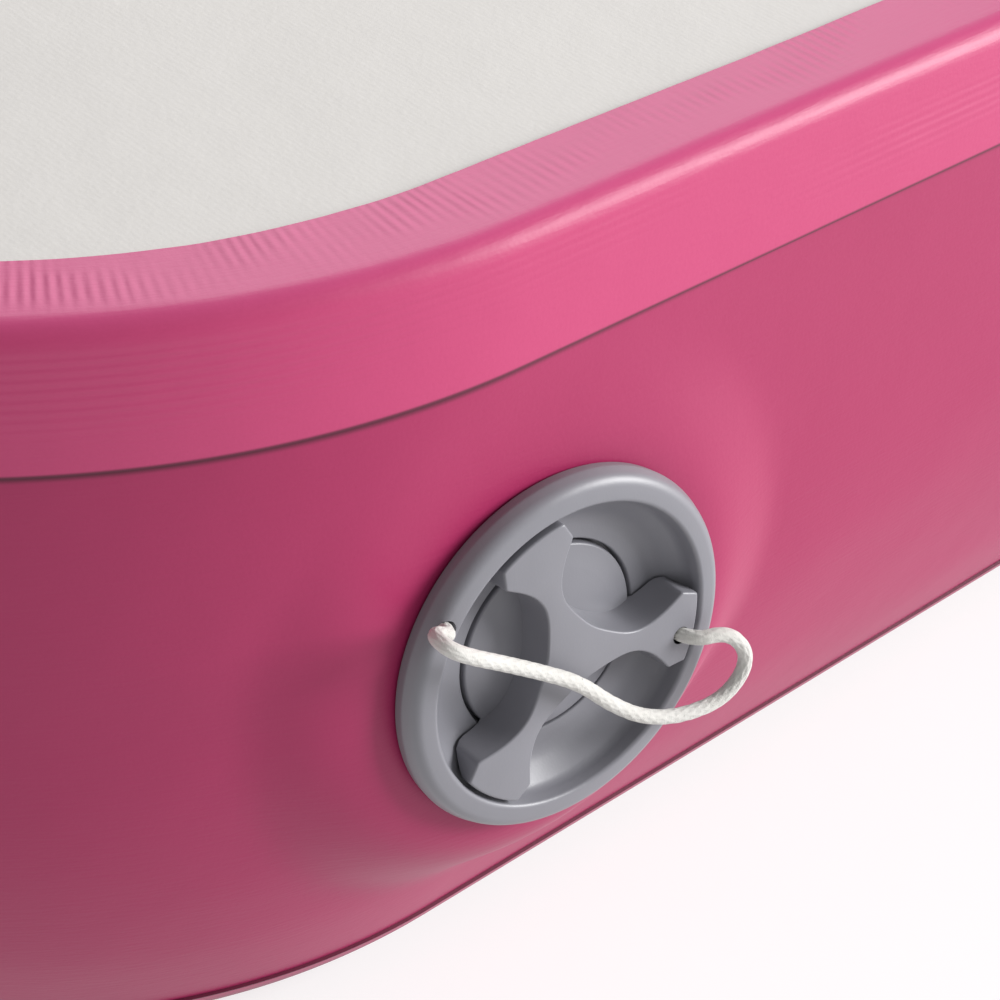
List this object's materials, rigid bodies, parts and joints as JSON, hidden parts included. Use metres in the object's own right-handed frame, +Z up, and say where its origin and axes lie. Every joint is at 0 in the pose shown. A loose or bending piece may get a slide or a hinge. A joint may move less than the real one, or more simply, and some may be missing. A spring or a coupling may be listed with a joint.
{
  "type": "inflatable air track mat",
  "caption": "Inflated drop-stitch tumbling mat with taped edges and a round inflation valve with a turn cap on a tether.",
  "frame": {"origin": "middle of the underside, on the floor", "axes": "+Y along the length with the valve in the -Y end wall, +X across the width, +Z up"},
  "size_m": [1, 3.0169, 0.15],
  "materials": {
    "top_vinyl": "matt white coated fabric with a fine weave grain",
    "wall_vinyl": "satin magenta coated fabric",
    "tape_vinyl": "satin magenta coated fabric, glued",
    "bottom_vinyl": "matt white coated fabric",
    "yarn": "bundled polyester thread",
    "valve_plastic": "satin grey moulding",
    "seal_rubber": "matt black",
    "spring_steel": "drawn wire",
    "cord_braid": "white braided cord"
  },
  "bodies": {
    "mat": {"top_skin": "top_vinyl", "bottom_skin": "bottom_vinyl", "drop_stitch_yarns": "yarn", "side_wall": "wall_vinyl", "wall_joint_patch": "wall_vinyl", "top_edge_tape": "tape_vinyl", "bottom_edge_tape": "tape_vinyl", "valve_backing_patch": "wall_vinyl", "flange_gasket": "seal_rubber", "clamp_washer": "seal_rubber", "valve_flange": "valve_plastic", "valve_clamp_nut": "valve_plastic", "stem_guide": "valve_plastic", "plunger_spring": "spring_steel", "tether_cord": "cord_braid", "tether_knot_flange": "cord_braid"},
    "cap_slide": {"cap_seal_ring": "seal_rubber"},
    "cap": {"valve_cap": "valve_plastic", "tether_knot_cap": "cord_braid"},
    "plunger_slide": {"spring_retainer": "valve_plastic"},
    "plunger": {"poppet_stem": "valve_plastic", "push_button": "valve_plastic", "poppet_seal": "seal_rubber"}
  },
  "joints": [
    {"name": "cap_lift", "type": "slide", "parent": "mat", "child": "cap_slide", "axis": [-0.0694, -0.9931, 0.0941], "range_m": [0, 0.06], "deforming": ["tether_cord"]},
    {"name": "cap_turn", "type": "hinge", "parent": "cap_slide", "child": "cap", "pos_m": [-0.3694, -1.50225, 0.0782], "axis": [0.0694, 0.9931, -0.0941], "range_deg": [0, 60], "deforming": ["tether_cord"]},
    {"name": "plunger_press", "type": "slide", "parent": "mat", "child": "plunger_slide", "axis": [0.0694, 0.9931, -0.0941], "range_m": [0, 0.006], "stiffness_N_per_m": 800, "springref_m": -0.003, "deforming": ["plunger_spring"]},
    {"name": "plunger_twist", "type": "hinge", "parent": "plunger_slide", "child": "plunger", "pos_m": [-0.3694, -1.50225, 0.0782], "axis": [0.0694, 0.9931, -0.0941], "range_deg": [0, 90]}
  ]
}
